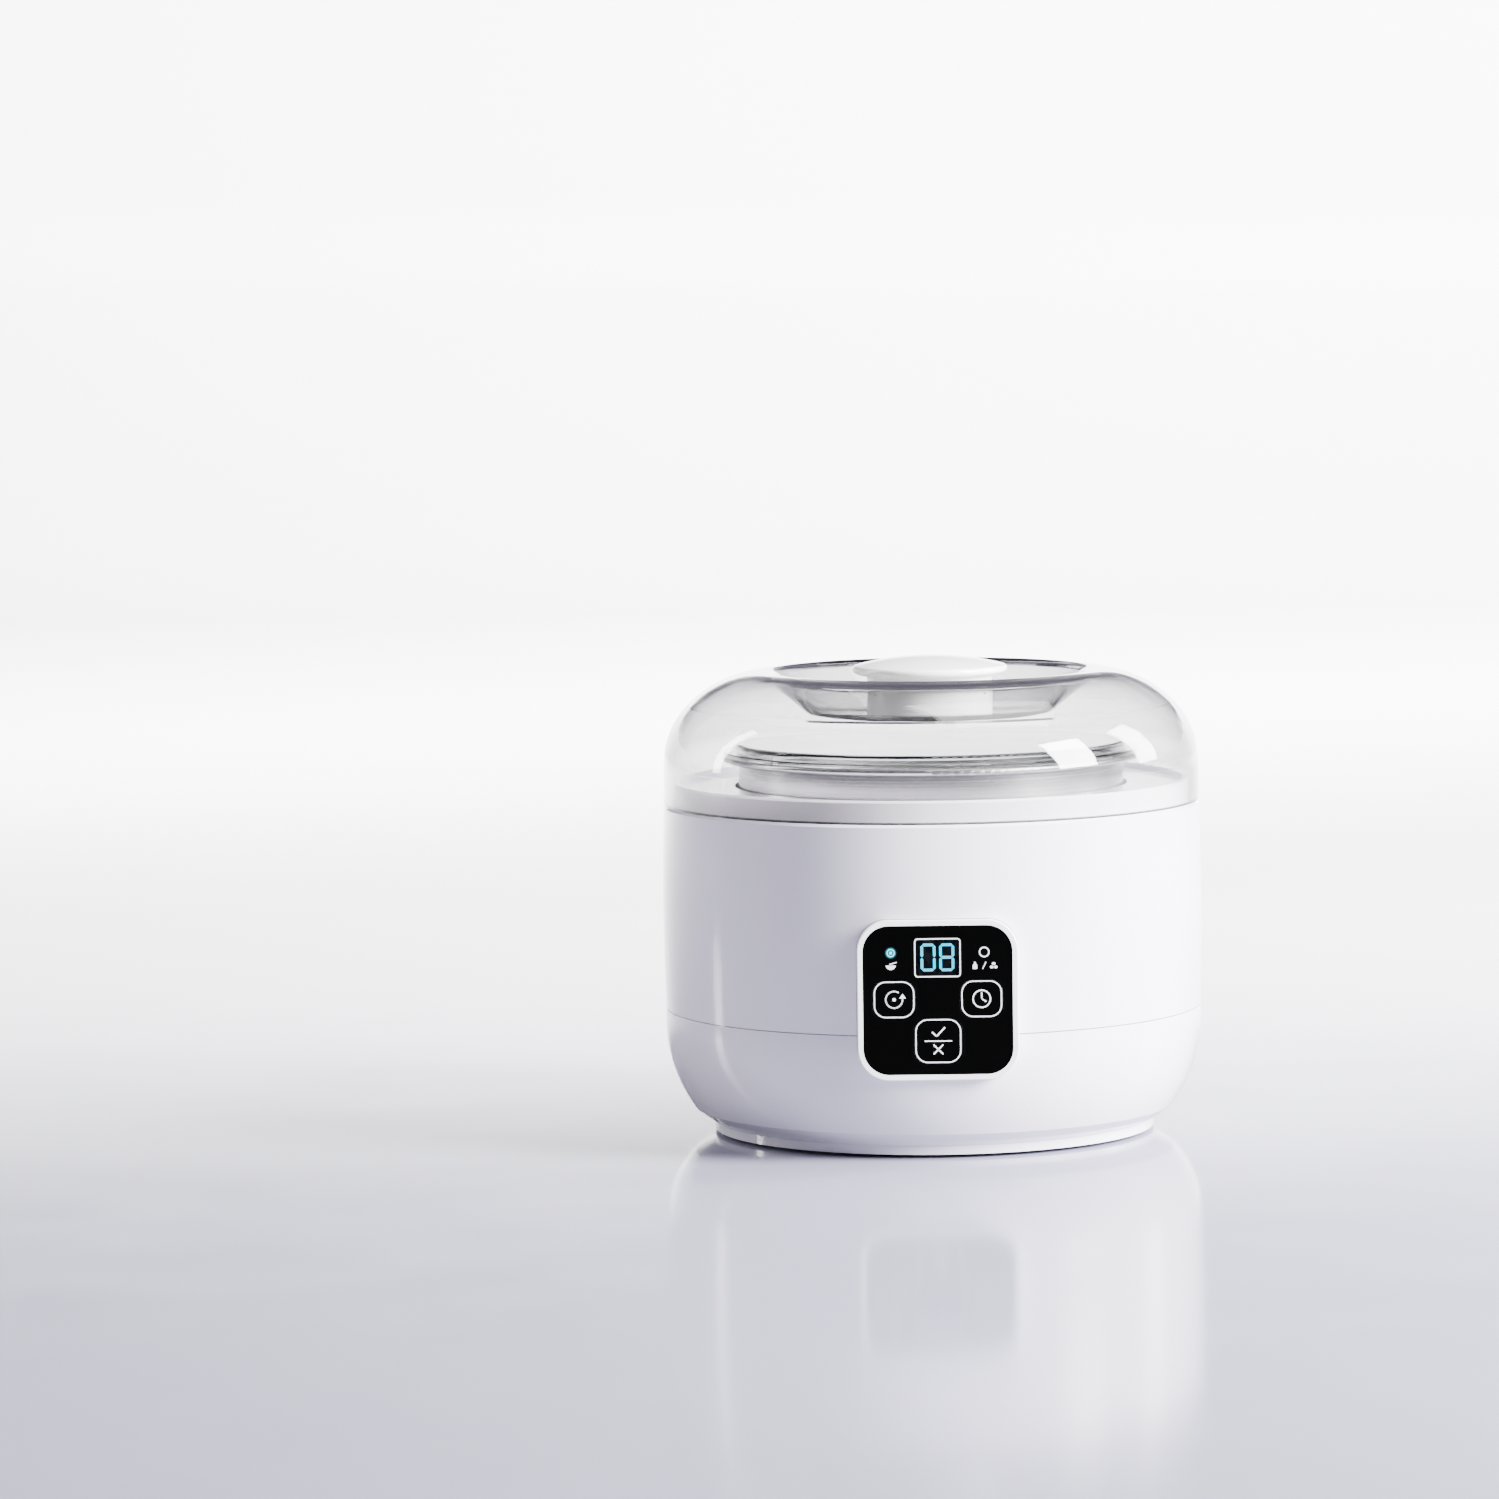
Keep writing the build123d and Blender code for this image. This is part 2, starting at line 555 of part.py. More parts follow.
def lid_curves(inset):
    """One face of the clear lid, from the skirt over the crest to the dish floor."""
    outer_arc = LID_ARC_1 - inset
    upper_arc = LID_ARC_2 - inset
    roll = LID_ROLL - inset
    fillet = LID_DISH_FILLET + inset
    skirt_r = LID_R - inset
    first_r = LID_R - LID_ARC_1
    step = (LID_ARC_2 - LID_ARC_1) * cos(radians(45))
    crest_r = first_r - step
    second_z = LID_SHOULDER_Z - step
    roll_z = second_z + LID_ARC_2 - LID_ROLL
    turn = 90 + LID_DISH_SLOPE
    floor_z = LID_FLOOR_Z - inset
    fillet_z = LID_FLOOR_Z + LID_DISH_FILLET
    # The dish wall is the common tangent of the roll and the fillet.
    rise = roll_z - fillet_z
    across = (LID_ROLL + LID_DISH_FILLET + rise * sin(radians(turn))) / -cos(radians(turn))
    fillet_r = crest_r - across

    def on(centre_r, centre_z, radius, angle):
        return centre_r + radius * cos(radians(angle)), centre_z + radius * sin(radians(angle))

    def arc(centre_r, centre_z, radius, start, end):
        return ThreePointArc(on(centre_r, centre_z, radius, start),
                             on(centre_r, centre_z, radius, (start + end) / 2),
                             on(centre_r, centre_z, radius, end))

    return (Line((skirt_r, LID_BOTTOM), (skirt_r, LID_SHOULDER_Z)),
            arc(first_r, LID_SHOULDER_Z, outer_arc, 0, 45),
            arc(crest_r, second_z, upper_arc, 45, 90),
            arc(crest_r, roll_z, roll, 90, turn),
            Line(on(crest_r, roll_z, roll, turn), on(fillet_r, fillet_z, fillet, turn - 180)),
            arc(fillet_r, fillet_z, fillet, turn - 180, -90),
            Line((fillet_r, floor_z), (LID_HOLE_R, floor_z)))


def outer_lid():
    return revolved(
        *lid_curves(0), *lid_curves(LID_WALL),
        Line((LID_HOLE_R, LID_FLOOR_Z), (LID_HOLE_R, LID_FLOOR_Z - LID_WALL)),
        Line((LID_R, LID_BOTTOM), (LID_R - LID_WALL, LID_BOTTOM)))


def knob():
    """Mushroom cap with the boss that takes the screw."""
    edge_in = KNOB_R - KNOB_EDGE_R
    edge_top = KNOB_EDGE_Z + KNOB_EDGE_R
    edge_low = KNOB_UNDER_Z + KNOB_BEVEL
    boss_low = LID_FLOOR_Z
    bore_top = boss_low + KNOB_BORE_DEPTH
    return revolved(
        ThreePointArc((0, KNOB_TOP), (edge_in / 2, KNOB_TOP - KNOB_CROWN_DROP), (edge_in, edge_top)),
        ThreePointArc((edge_in, edge_top), (KNOB_R, KNOB_EDGE_Z), (edge_in, edge_low)),
        Polyline((edge_in, edge_low), (edge_in - KNOB_BEVEL, KNOB_UNDER_Z),
                 (KNOB_BOSS_R, KNOB_UNDER_Z), (KNOB_BOSS_R, boss_low), (PILOT_R, boss_low),
                 (PILOT_R, bore_top), (0, bore_top), (0, KNOB_TOP)))


def knob_neck():
    """Ring under the cap, with four small vents."""
    ring = tube(KNOB_NECK_R, KNOB_NECK_R - KNOB_WALL, LID_FLOOR_Z, KNOB_UNDER_Z)
    for angle in KNOB_VENT_ANGLES:
        start = polar(KNOB_NECK_R - 2 * KNOB_WALL, angle)
        vent = Plane(origin=(*start, KNOB_VENT_Z), z_dir=(*polar(1, angle), 0))
        ring -= vent * cylinder(KNOB_VENT_R, 3 * KNOB_WALL)
    return ring


def knob_washer():
    top = LID_FLOOR_Z - LID_WALL
    return tube(WASHER_R, LID_HOLE_R, top - WASHER_T, top)


def knob_screw():
    seat = LID_FLOOR_Z - LID_WALL - WASHER_T
    return Pos(0, 0, seat) * screw(*KNOB_SCREW_HEAD, SCREW_R, KNOB_SCREW_LENGTH)


# ---- control panel ----

def key_hole(name, y_low, y_high, gap):
    """The outline of a key, grown by gap."""
    x, dz, width, height, corner = KEYS[name]
    return plate(width + 2 * gap, height + 2 * gap, corner + gap, y_low, y_high, x, PANEL_Z + dz)


def panel_frame():
    """White bezel with a carrier plate behind the overlay and bosses for the control board."""
    inner = BEZEL - 2 * BEZEL_WALL
    body = plate(BEZEL, BEZEL, BEZEL_CORNER, PANEL_FRONT, BEZEL_BACK)
    rim = body.faces().sort_by(Axis.Y)[0].edges()
    body = fillet(rim, EDGE_BREAK)
    body -= plate(inner, inner, BEZEL_CORNER - BEZEL_WALL, PANEL_FRONT, CARRIER_FRONT)
    body -= plate(inner, inner, BEZEL_CORNER - BEZEL_WALL, CARRIER_BACK, BEZEL_BACK)
    for name, (x, dz, *_) in KEYS.items():
        body -= key_hole(name, CARRIER_FRONT, CARRIER_FRONT + KEY_POCKET, FIT_GAP)
        body -= rod_y(STEM_R + FIT_GAP, CARRIER_FRONT, CARRIER_BACK, x, PANEL_Z + dz)
    width, height, _ = WINDOW
    body -= plate(width + EASY_FIT, height + EASY_FIT, 1, CARRIER_FRONT, CARRIER_BACK, 0, PANEL_Z + WINDOW_DZ)
    for x in (-LIGHT_X, LIGHT_X):
        body -= rod_y(LIGHT_R, CARRIER_FRONT, CARRIER_BACK, x, PANEL_Z + LIGHT_DZ)
    for x in (-BOARD_SCREW, BOARD_SCREW):
        for dz in (-BOARD_SCREW, BOARD_SCREW):
            body += rod_y(BOARD_BOSS_R, CARRIER_BACK - MERGE, BOARD_FRONT, x, PANEL_Z + dz)
            body -= rod_y(BOARD_PILOT_R, CARRIER_BACK, BOARD_FRONT, x, PANEL_Z + dz)
    (y_low, y_high), (z_low, z_high) = BEZEL_CLIP_Y, BEZEL_CLIP_DZ
    for side in (-1, 1):
        x_low, x_high = sorted((side * (BEZEL / 2 - CLIP_ROOT), side * (BEZEL / 2 + CLIP_REACH)))
        body += block(x_low, x_high, y_low, y_high, PANEL_Z + z_low, PANEL_Z + z_high)
    return body


def panel_overlay():
    """Black sheet inside the bezel, cut out for the keys, the window and the two lights."""
    inner = BEZEL - 2 * BEZEL_WALL - EASY_FIT
    back = CARRIER_FRONT
    sheet = plate(inner, inner, BEZEL_CORNER - BEZEL_WALL, OVERLAY_FRONT, back)
    for name in KEYS:
        sheet -= key_hole(name, OVERLAY_FRONT, back, FIT_GAP)
    width, height, corner = WINDOW
    sheet -= plate(width, height, corner, OVERLAY_FRONT, back, 0, PANEL_Z + WINDOW_DZ)
    for x in (-LIGHT_X, LIGHT_X):
        sheet -= rod_y(LIGHT_R, OVERLAY_FRONT, back, x, PANEL_Z + LIGHT_DZ)
    return sheet


def display_lens():
    width, height, corner = WINDOW
    return plate(width, height, corner, OVERLAY_FRONT, CARRIER_FRONT, 0, PANEL_Z + WINDOW_DZ)


def display_module():
    """Black block of the two-digit display, standing on the control board."""
    width, height, _ = WINDOW
    play = 2 * FIT_GAP
    front = CARRIER_FRONT + DISPLAY_SET_BACK
    return plate(width - play, height - play, 0.5, front, BOARD_FRONT, 0, PANEL_Z + WINDOW_DZ)


def segment(length, stroke):
    """Flat bar with pointed ends, lying along X."""
    half, tip = length / 2, stroke / 2
    return Polyline((-half, 0), (-half + tip, tip), (half - tip, tip), (half, 0),
                    (half - tip, -tip), (-half + tip, -tip), (-half, 0))


def display_digits():
    """Lit segments of the two digits, in front of the display module."""
    width, height, stroke = DIGIT
    reach_x = (width - stroke) / 2
    reach_z = (height - stroke) / 2
    across = segment(2 * reach_x - SEGMENT_GAP, stroke)
    upright = segment(reach_z - SEGMENT_GAP, stroke)
    level = [(0, reach_z), (0, -reach_z)]
    sides = [(sx * reach_x, sz * reach_z / 2) for sx in (-1, 1) for sz in (-1, 1)]
    bars = []
    for digit_x, places in ((-DIGIT_X, level), (DIGIT_X, level + [(0, 0)])):
        for shape, turn, spots in ((across, 0, places), (upright, 90, sides)):
            for x, z in spots:
                spot = along_y(digit_x + x, CARRIER_FRONT + LENS_GAP, PANEL_Z + WINDOW_DZ + z)
                face = spot * (Rot(0, 0, turn) * make_face(shape.edges()))
                bars.append(extrude(face, amount=DISPLAY_SET_BACK - LENS_GAP))
    return bars


def light_pipe(x):
    """Clear round plug of an indicator light."""
    return rod_y(LIGHT_R, OVERLAY_FRONT, PIPE_BACK, x, PANEL_Z + LIGHT_DZ)


def indicator_leds():
    return [rod_y(LED_R, PIPE_BACK, BOARD_FRONT, x, PANEL_Z + LIGHT_DZ) for x in (-LIGHT_X, LIGHT_X)]


def key_cap(name):
    """Key plate, flush with the overlay, that slides back against its switch."""
    return key_hole(name, OVERLAY_FRONT, CARRIER_FRONT, 0)


def switch_stem(name):
    """Stem between a key and its switch."""
    x, dz, *_ = KEYS[name]
    return rod_y(STEM_R, CARRIER_FRONT, BOARD_FRONT - STEM_END, x, PANEL_Z + dz)


def tact_switches():
    width, depth, corner = SWITCH
    face = BOARD_FRONT - depth
    bodies = []
    for x, dz, *_ in KEYS.values():
        body = plate(width, width, corner, face, BOARD_FRONT, x, PANEL_Z + dz)
        bodies.append(body - rod_y(STEM_R + EASY_FIT, face, face + SWITCH_BORE, x, PANEL_Z + dz))
    return bodies


def control_board():
    board = plate(BOARD_SIZE, BOARD_SIZE, BOARD_CORNER, BOARD_FRONT, BOARD_REAR)
    for x in (-BOARD_SCREW, BOARD_SCREW):
        for dz in (-BOARD_SCREW, BOARD_SCREW):
            board -= rod_y(BOARD_HOLE_R, BOARD_FRONT, BOARD_REAR, x, PANEL_Z + dz)
    return board


def control_board_screws():
    body = screw(*BOARD_SCREW_SIZE)
    return [Plane(origin=(x, BOARD_REAR, PANEL_Z + dz), z_dir=(0, -1, 0)) * body
            for x in (-BOARD_SCREW, BOARD_SCREW) for dz in (-BOARD_SCREW, BOARD_SCREW)]


def controller_chip():
    width, height, thickness = CHIP
    return plate(width, height, 0.4, BOARD_REAR, BOARD_REAR + thickness, 0, PANEL_Z + CHIP_DZ)


def control_connector():
    """Four-way header on the back of the control board."""
    width, height, depth, wall = HEADER
    mouth = BOARD_REAR + depth
    spot = (HEADER_X, PANEL_Z + HEADER_DZ)
    body = plate(width, height, 0.5, BOARD_REAR, mouth, *spot)
    return body - plate(width - 2 * wall, height - 2 * wall, 0.3, mouth - HEADER_DEPTH, mouth, *spot)


# ---- power board ----

def power_board():
    width, depth = POWER_BOARD
    y = POWER_BOARD_Y
    board = block(-width / 2, width / 2, y - depth / 2, y + depth / 2, POWER_BOARD_Z, POWER_TOP)
    for x in (-POWER_SCREW[0], POWER_SCREW[0]):
        for dy in (-POWER_SCREW[1], POWER_SCREW[1]):
            board -= Pos(x, y + dy, 0) * tube(POWER_HOLE_R, 0, POWER_BOARD_Z, POWER_TOP)
    return board


def power_board_screws():
    body = screw(*POWER_SCREW_SIZE)
    places = [(x, POWER_BOARD_Y + dy) for x in (-POWER_SCREW[0], POWER_SCREW[0])
              for dy in (-POWER_SCREW[1], POWER_SCREW[1])]
    return [Plane(origin=(x, y, POWER_TOP), z_dir=(0, 0, -1)) * body for x, y in places]


def transformer_core():
    """Laminated core with a window each side of its centre leg."""
    width, depth, height = CORE
    half = width / 2
    core = block(-half, half, -depth / 2, depth / 2, 0, height)
    for side in (-1, 1):
        x_low, x_high = sorted((side * CORE_MIDDLE / 2, side * (half - CORE_LEG)))
        core -= block(x_low, x_high, -depth / 2, depth / 2, CORE_LEG, height - CORE_LEG)
    return Pos(*CORE_PLACE, POWER_TOP) * core


def transformer_coil():
    """Winding round the centre leg, filling both windows."""
    width, depth = COIL
    low = CORE_LEG + EASY_FIT
    high = CORE[2] - CORE_LEG - EASY_FIT
    leg = CORE_MIDDLE / 2 + EASY_FIT
    slot = CORE[1] / 2 + EASY_FIT
    coil = block(-width / 2, width / 2, -depth / 2, depth / 2, low, high)
    return Pos(*CORE_PLACE, POWER_TOP) * (coil - block(-leg, leg, -slot, slot, low, high))


def relay():
    width, depth, height = RELAY
    body = Pos(*RELAY_PLACE, POWER_TOP) * block(-width / 2, width / 2, -depth / 2, depth / 2, 0, height)
    return fillet(body.edges().filter_by(Axis.Z), 1.0)


def filter_capacitor():
    """Sleeved can with a shallow groove round its top."""
    radius, height = CAN
    top = POWER_TOP + height
    groove = tube(radius - 1, radius - 1 - CAN_GROOVE, top - CAN_GROOVE, top)
    return Pos(*CAN_PLACE, 0) * (tube(radius, 0, POWER_TOP, top) - groove)


def mains_fuse():
    """Glass fuse with a cap at each end."""
    radius, length = FUSE
    cap_r, cap_length = FUSE_CAP
    body = Cylinder(radius, length)
    for side in (-1, 1):
        body += Pos(0, 0, side * (length - cap_length) / 2) * Cylinder(cap_r, cap_length)
    return Pos(*FUSE_PLACE, POWER_TOP + cap_r) * Rot(0, 90, 0) * body


def terminal_block(x, y, turn):
    """Screwless terminal with two wire mouths facing +Y before it is turned about Z."""
    width, depth, height = TERMINAL
    bore_r, bore_depth = TERMINAL_BORE
    body = block(-width / 2, width / 2, -depth / 2, depth / 2, 0, height)
    for mouth_x in (-TERMINAL_PITCH / 2, TERMINAL_PITCH / 2):
        body -= rod_y(bore_r, depth / 2 - bore_depth, depth / 2, mouth_x, TERMINAL_MOUTH)
    return Pos(x, y, POWER_TOP) * Rot(0, 0, turn) * body


def control_socket():
    """Header at the front of the power board for the control leads."""
    return block(*SOCKET_X, *SOCKET_Y, POWER_TOP, POWER_TOP + SOCKET_H)


# ---- mains inlet and leads ----

def inlet_socket():
    """Two-pin appliance inlet that snaps into the back of the lower housing."""
    width, height, corner = INLET
    body = plate(width, height, corner, INLET_BACK, INLET_FACE, z=INLET_Z)
    body = fillet(body.faces().sort_by(Axis.Y)[-1].edges(), INLET_EDGE_R)
    cavity_w, cavity_h = INLET_CAVITY
    cavity = along_y(0, INLET_FLOOR, INLET_Z) * SlotOverall(cavity_w, cavity_h)
    body -= extrude(cavity, amount=INLET_FACE - INLET_FLOOR)
    for x in (-PIN_X, PIN_X):
        body -= rod_y(PIN_R, INLET_BACK, INLET_FLOOR, x, INLET_Z)
    for side in (-1, 1):
        x_low, x_high = sorted((side * (width / 2 - CLIP_ROOT), side * (width / 2 + CLIP_REACH)))
        body += block(x_low, x_high, *INLET_CLIP_Y, INLET_Z - INLET_CLIP_H / 2, INLET_Z + INLET_CLIP_H / 2)
    return body


def inlet_pins():
    pins = []
    for x in (-PIN_X, PIN_X):
        pin = rod_y(PIN_R, PIN_REAR, PIN_TIP, x, INLET_Z)
        pins.append(fillet(pin.faces().sort_by(Axis.Y)[-1].edges(), PIN_R / 2))
    return pins


def mains_leads():
    """Two leads from the inlet pins down to the mains terminal."""
    mouth_z = POWER_TOP + TERMINAL_MOUTH
    half = TERMINAL_PITCH / 2
    start_y = PIN_REAR - LEAD_GAP
    return [wire([(side * PIN_X, start_y, INLET_Z), (side * PIN_X, start_y - 12, INLET_Z),
                  (side * half, start_y - 24, mouth_z), (side * half, MAINS_TERMINAL[1] + 2, mouth_z)],
                 MAINS_LEAD_R)
            for side in (-1, 1)]


def heater_leads():
    """Two leads from the heater terminal up through the frame to the ends of the heater band."""
    mouth_z = POWER_TOP + TERMINAL_MOUTH
    terminal_x, terminal_y = HEATER_TERMINAL
    band_r = WELL_R + WELL_WALL + HEATER_T
    leads = []
    for side in (-1, 1):
        mouth_y = terminal_y + side * TERMINAL_PITCH / 2
        y = side * HEATER_LEAD_Y
        leads.append(wire([(terminal_x + 2, mouth_y, mouth_z), (terminal_x + 20, mouth_y, mouth_z),
                           (HEATER_LEAD_X, y, 34), (HEATER_LEAD_X, y, 60), (band_r + 1.3, y, 76)],
                          HEATER_LEAD_R))
    return leads


def control_leads():
    """Four leads from the power board to the control board."""
    y_board = BOARD_REAR + HEADER[2] + LEAD_GAP
    board_z = PANEL_Z + HEADER_DZ
    shift = HEADER_X - (CONTROL_LEADS[0] + CONTROL_LEADS[-1]) / 2
    return [wire([(x + shift, y_board, board_z), (x + shift, -64, board_z), (x, -52, CONTROL_LEAD_Z),
                  (x, SOCKET_Y[0] - LEAD_GAP, CONTROL_LEAD_Z)], CONTROL_LEAD_R)
            for x in CONTROL_LEADS]


# ---- every piece, by node ----

def all_nodes():
    nodes = {
        "lower_housing": lower_housing(),
        "base_plate": base_plate(),
        "upper_housing": upper_housing(),
        "top_deck": top_deck(),
        "inner_frame": inner_frame(),
        "frame_spacers": frame_spacers(),
        "rubber_feet": rubber_feet(),
        "frame_screws": frame_screws(),
        "base_screws": base_screws(),
        "heating_well": heating_well(),
        "heater_band": heater_band(),
        "thermal_fuse": thermal_fuse(),
        "temperature_sensor": temperature_sensor(),
        "inner_pot": inner_pot(),
        "inner_lid": inner_lid(),
        "inner_lid_seal": inner_lid_seal(),
        "outer_lid": outer_lid(),
        "knob": knob(),
        "knob_neck": knob_neck(),
        "knob_washer": knob_washer(),
        "knob_screw": knob_screw(),
        "panel_frame": panel_frame(),
        "panel_overlay": panel_overlay(),
        "display_lens": display_lens(),
        "display_module": display_module(),
        "display_digits": display_digits(),
        "left_light_pipe": light_pipe(-LIGHT_X),
        "right_light_pipe": light_pipe(LIGHT_X),
        "indicator_leds": indicator_leds(),
        "tact_switches": tact_switches(),
        "control_board": control_board(),
        "control_board_screws": control_board_screws(),
        "controller_chip": controller_chip(),
        "control_connector": control_connector(),
        "power_board": power_board(),
        "power_board_screws": power_board_screws(),
        "transformer_core": transformer_core(),
        "transformer_coil": transformer_coil(),
        "relay": relay(),
        "filter_capacitor": filter_capacitor(),
        "mains_fuse": mains_fuse(),
        "mains_terminal": terminal_block(*MAINS_TERMINAL, 0),
        "heater_terminal": terminal_block(*HEATER_TERMINAL, -90),
        "control_socket": control_socket(),
        "inlet_socket": inlet_socket(),
        "inlet_pins": inlet_pins(),
        "mains_leads": mains_leads(),
        "heater_leads": heater_leads(),
        "control_leads": control_leads(),
    }
    for name in KEYS:
        nodes[name] = key_cap(name)
        nodes[name.replace("_key", "_switch_stem")] = switch_stem(name)
    return nodes


os.makedirs("parts", exist_ok=True)
for node, shape in all_nodes().items():
    if isinstance(shape, list):
        shape = Compound(children=[piece.solid() for piece in shape])
    else:
        shape = shape.solid()
    export_step(shape, f"parts/{node}.step")
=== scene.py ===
import json
from math import cos, pi, radians, sin

import bmesh
import bpy
from mathutils import Matrix, Vector


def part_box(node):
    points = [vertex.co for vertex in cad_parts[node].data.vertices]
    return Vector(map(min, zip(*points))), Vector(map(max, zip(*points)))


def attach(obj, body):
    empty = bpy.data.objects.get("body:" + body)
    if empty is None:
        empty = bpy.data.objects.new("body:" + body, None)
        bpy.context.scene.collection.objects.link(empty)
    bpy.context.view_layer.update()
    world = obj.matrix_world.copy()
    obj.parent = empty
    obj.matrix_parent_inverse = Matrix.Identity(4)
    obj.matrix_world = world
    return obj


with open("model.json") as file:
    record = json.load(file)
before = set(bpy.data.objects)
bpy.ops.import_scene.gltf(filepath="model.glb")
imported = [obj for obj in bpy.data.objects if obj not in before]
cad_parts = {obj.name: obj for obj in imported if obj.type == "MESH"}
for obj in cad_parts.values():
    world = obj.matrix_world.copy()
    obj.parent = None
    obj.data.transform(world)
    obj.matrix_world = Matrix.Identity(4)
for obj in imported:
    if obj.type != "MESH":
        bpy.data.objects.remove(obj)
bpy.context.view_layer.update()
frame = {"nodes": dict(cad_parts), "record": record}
NODES = frame["nodes"]
RECORD = frame["record"]
MM = 0.001


# ---- camera ----

CAMERA_PLACE = (-0.0406, -2.4227, 0.3419)
CAMERA_HEADING = 0.56       # degrees anticlockwise from +Y
CAMERA_DOWN = 4.856
CAMERA_ROLL = -0.769
CAMERA_LENS = 164.28        # millimetres, on a sensor of CAMERA_SENSOR
CAMERA_SENSOR = 36.0
CAMERA_NEAR = 0.05


def make_camera():
    data = bpy.data.cameras.new("camera")
    data.lens = CAMERA_LENS
    data.sensor_width = CAMERA_SENSOR
    data.clip_start = CAMERA_NEAR
    camera = bpy.data.objects.new("camera", data)
    bpy.context.scene.collection.objects.link(camera)
    turn = (Matrix.Rotation(radians(CAMERA_HEADING), 4, "Z")
            @ Matrix.Rotation(radians(90 - CAMERA_DOWN), 4, "X")
            @ Matrix.Rotation(radians(CAMERA_ROLL), 4, "Z"))
    camera.matrix_world = Matrix.Translation(CAMERA_PLACE) @ turn
    bpy.context.scene.camera = camera


# ---- node material helpers ----

class Nodes:
    """Short way to write the node tree of one material."""

    def __init__(self, name):
        self.material = bpy.data.materials.new(name)
        self.material.use_nodes = True
        self.tree = self.material.node_tree
        self.shader = self.tree.nodes["Principled BSDF"]
        coordinates = self.add("ShaderNodeTexCoord")
        self.place = coordinates.outputs["Object"]

    def add(self, kind, **settings):
        node = self.tree.nodes.new(kind)
        for key, value in settings.items():
            setattr(node, key, value)
        return node

    def link(self, source, target):
        self.tree.links.new(source, target)

    def set(self, **sockets):
        """Uniform values, straight on the shader's own sockets."""
        for key, value in sockets.items():
            self.shader.inputs[key.replace("_", " ")].default_value = value

    def noise(self, scale, detail=3.0, stretch=(1, 1, 1), roughness=0.5):
        """Noise in object space; scale is in features per metre."""
        mapping = self.add("ShaderNodeMapping")
        mapping.inputs["Scale"].default_value = stretch
        self.link(self.place, mapping.inputs["Vector"])
        node = self.add("ShaderNodeTexNoise")
        node.inputs["Scale"].default_value = scale
        node.inputs["Detail"].default_value = detail
        node.inputs["Roughness"].default_value = roughness
        self.link(mapping.outputs["Vector"], node.inputs["Vector"])
        return node.outputs["Fac"]

    def ramp(self, source, low, high, start=0.3, end=0.7):
        """Maps a 0 to 1 value onto two colours."""
        node = self.add("ShaderNodeValToRGB")
        node.color_ramp.elements[0].position = start
        node.color_ramp.elements[1].position = end
        node.color_ramp.elements[0].color = (*low, 1)
        node.color_ramp.elements[1].color = (*high, 1)
        self.link(source, node.inputs["Fac"])
        return node.outputs["Color"]

    def span(self, source, low, high):
        """Maps a 0 to 1 value onto a range of numbers."""
        node = self.add("ShaderNodeMapRange")
        node.inputs["To Min"].default_value = low
        node.inputs["To Max"].default_value = high
        self.link(source, node.inputs["Value"])
        return node.outputs["Result"]

    def multiplied(self, first, second):
        """One colour times another."""
        node = self.add("ShaderNodeMix", data_type="RGBA", blend_type="MULTIPLY")
        node.inputs["Factor"].default_value = 1.0
        colours = [socket for socket in node.inputs if socket.type == "RGBA"]
        self.link(first, colours[0])
        self.link(second, colours[1])
        return next(socket for socket in node.outputs if socket.type == "RGBA")

    def math(self, operation, first, second=None):
        """One arithmetic step; each operand is a number or a socket."""
        node = self.add("ShaderNodeMath", operation=operation)
        for socket, value in zip(node.inputs, (first, second)):
            if value is None:
                continue
            if isinstance(value, (int, float)):
                socket.default_value = value
            else:
                self.link(value, socket)
        return node.outputs["Value"]

    def polar(self):
        """Distance from the Z axis and height, in metres, and the turn about Z."""
        split = self.add("ShaderNodeSeparateXYZ")
        self.link(self.place, split.inputs["Vector"])
        x, y, z = split.outputs
        square = self.math("ADD", self.math("MULTIPLY", x, x), self.math("MULTIPLY", y, y))
        return self.math("SQRT", square), z, self.math("ARCTAN2", y, x)

    def colour(self, source):
        self.link(source, self.shader.inputs["Base Color"])

    def rough(self, source):
        self.link(source, self.shader.inputs["Roughness"])

    def bump(self, height, strength, distance):
        """Relief of the surface; distance is its depth in metres."""
        node = self.add("ShaderNodeBump")
        node.inputs["Strength"].default_value = strength
        node.inputs["Distance"].default_value = distance
        self.link(height, node.inputs["Height"])
        self.link(node.outputs["Normal"], self.shader.inputs["Normal"])


def tint(colour, factor):
    """The same hue, lighter or darker."""
    return tuple(channel * factor for channel in colour)


# ---- materials: plastics ----

def gloss_plastic(name, colour, roughness=0.16, coat=0.4, specular=0.5):
    """Polished injection moulding: faint flow marks, orange peel and fine wiping haze."""
    m = Nodes(name)
    m.set(Coat_Weight=coat, Coat_Roughness=0.04, IOR=1.5, Specular_IOR_Level=specular)
    flow = m.noise(9, 2, stretch=(1, 1, 0.35))
    m.colour(m.ramp(flow, tint(colour, 0.975), colour))
    m.rough(m.span(m.noise(140, 4), roughness - 0.03, roughness + 0.05))
    m.bump(m.noise(420, 2), 0.03, 0.0002)
    return m.material


def matte_plastic(name, colour, roughness=0.5, specular=0.5):
    """Spark-eroded texture of an inner moulding."""
    m = Nodes(name)
    m.set(Specular_IOR_Level=specular)
    m.colour(m.ramp(m.noise(40, 3), tint(colour, 0.88), colour))
    m.rough(m.span(m.noise(260, 3), roughness - 0.08, roughness + 0.1))
    m.bump(m.noise(1500, 2), 0.25, 0.0002)
    return m.material


def rubber(name, colour, roughness=0.7):
    """Dull soft surface with a fine grain."""
    m = Nodes(name)
    m.colour(m.ramp(m.noise(60, 4), tint(colour, 0.8), colour))
    m.rough(m.span(m.noise(300, 3), roughness - 0.1, roughness + 0.12))
    m.bump(m.noise(900, 3), 0.2, 0.0002)
    return m.material


